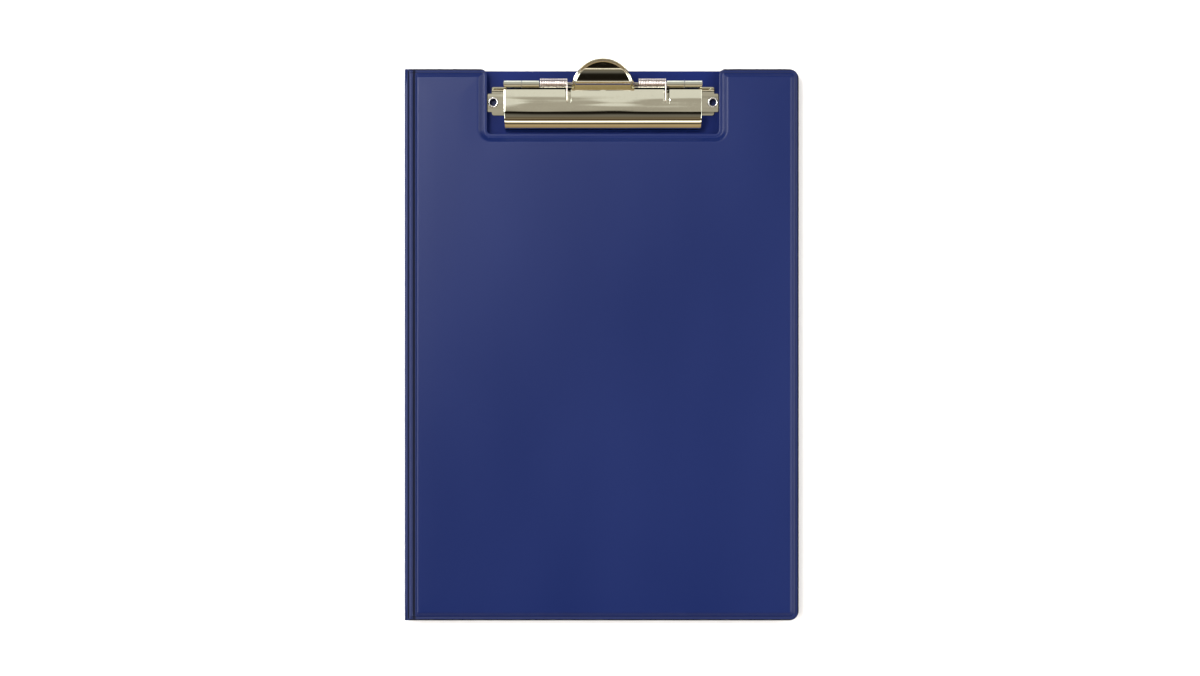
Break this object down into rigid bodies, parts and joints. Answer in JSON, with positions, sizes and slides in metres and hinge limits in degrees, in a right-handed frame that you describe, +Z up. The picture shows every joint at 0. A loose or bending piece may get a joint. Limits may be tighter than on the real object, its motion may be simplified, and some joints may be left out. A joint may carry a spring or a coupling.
{
  "type": "clipboard folder",
  "caption": "Foil-covered clipboard with a fold-over cover, a spine and a notch for the sprung metal clip that holds paper.",
  "frame": {"origin": "middle of the closed folder's rest face, the outside of the back panel", "axes": "+X to the right as seen from the cover, with the spine on the left; +Y towards the clip end; +Z up, out of the cover"},
  "size_m": [0.2288, 0.3245, 0.0242],
  "materials": {
    "blue_foil": "semi-gloss embossed PVC foil",
    "pocket_foil": "thin matte foil",
    "grey_board": "raw pressed grey board",
    "plated_steel": "bright nickel plate",
    "rod_steel": "drawn wire",
    "spring_wire": "nickel-plated spring wire"
  },
  "bodies": {
    "back": {"back_board": "grey_board", "back_outer_foil": "blue_foil", "back_inner_foil": "blue_foil", "clip_base_plate": "plated_steel", "hinge_rod": "rod_steel", "rivet_left": "plated_steel", "rivet_right": "plated_steel", "spring_left": "spring_wire", "spring_right": "spring_wire"},
    "spine": {"spine_outer_foil": "blue_foil", "spine_inner_foil": "blue_foil"},
    "front": {"front_board": "grey_board", "front_outer_foil": "blue_foil", "front_inner_foil": "blue_foil", "cover_pocket": "pocket_foil"},
    "jaw": {"clip_jaw": "plated_steel"}
  },
  "joints": [
    {"name": "back_fold", "type": "hinge", "parent": "back", "child": "spine", "pos_m": [-0.1141, 0, 0.0023], "axis": [0, -1, 0], "range_deg": [0, 180]},
    {"name": "cover_fold", "type": "hinge", "parent": "spine", "child": "front", "pos_m": [-0.1141, 0, 0.0077], "axis": [0, -1, 0], "range_deg": [0, 180]},
    {"name": "jaw_hinge", "type": "hinge", "parent": "back", "child": "jaw", "pos_m": [0.0008, 0.1507, 0.01303], "axis": [-1, 0, 0], "range_deg": [0, 35], "stiffness_Nm_per_rad": 0.5, "springref_deg": -34.38, "deforming": ["spring_left", "spring_right"]}
  ]
}
